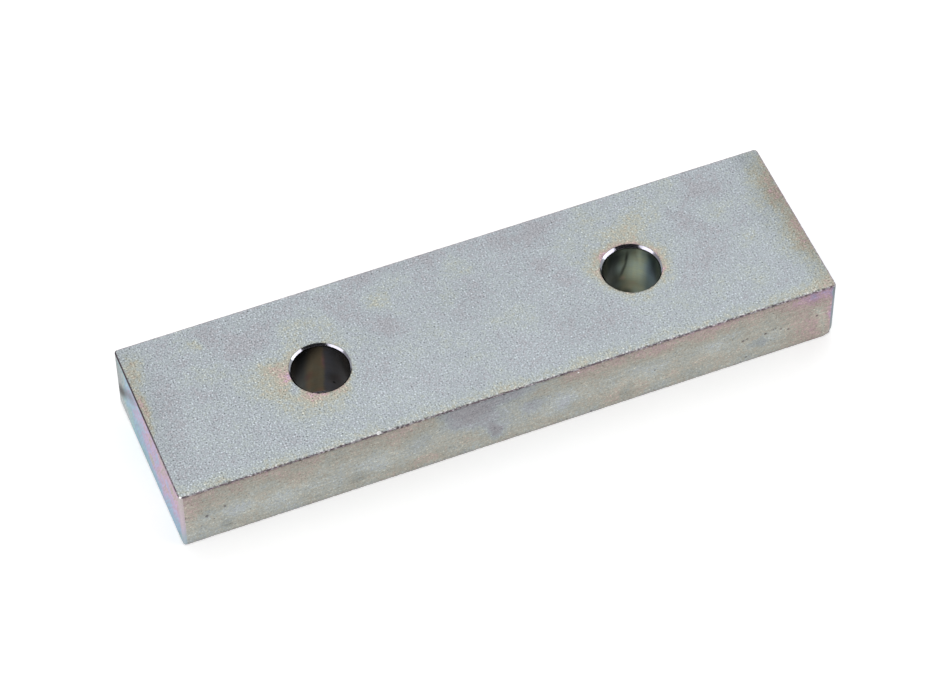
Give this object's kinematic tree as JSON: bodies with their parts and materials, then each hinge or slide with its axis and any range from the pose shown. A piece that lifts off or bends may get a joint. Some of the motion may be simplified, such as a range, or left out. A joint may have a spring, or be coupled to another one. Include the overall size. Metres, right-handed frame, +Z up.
{
  "type": "machined mounting block",
  "caption": "Flat rectangular steel block with a row of countersunk through holes, for bolting down as a spacer or clamping bar.",
  "frame": {"origin": "centre of the bottom face", "axes": "+X along the block's length, through both holes; +Y across its width; +Z up through its thickness, along the holes"},
  "size_m": [0.107, 0.03, 0.012],
  "materials": {
    "plated_steel": "bright zinc plate with a thin clear passivate, blasted broad faces and drawn sides"
  },
  "bodies": {
    "root": {"mounting_block": "plated_steel"}
  },
  "joints": []
}
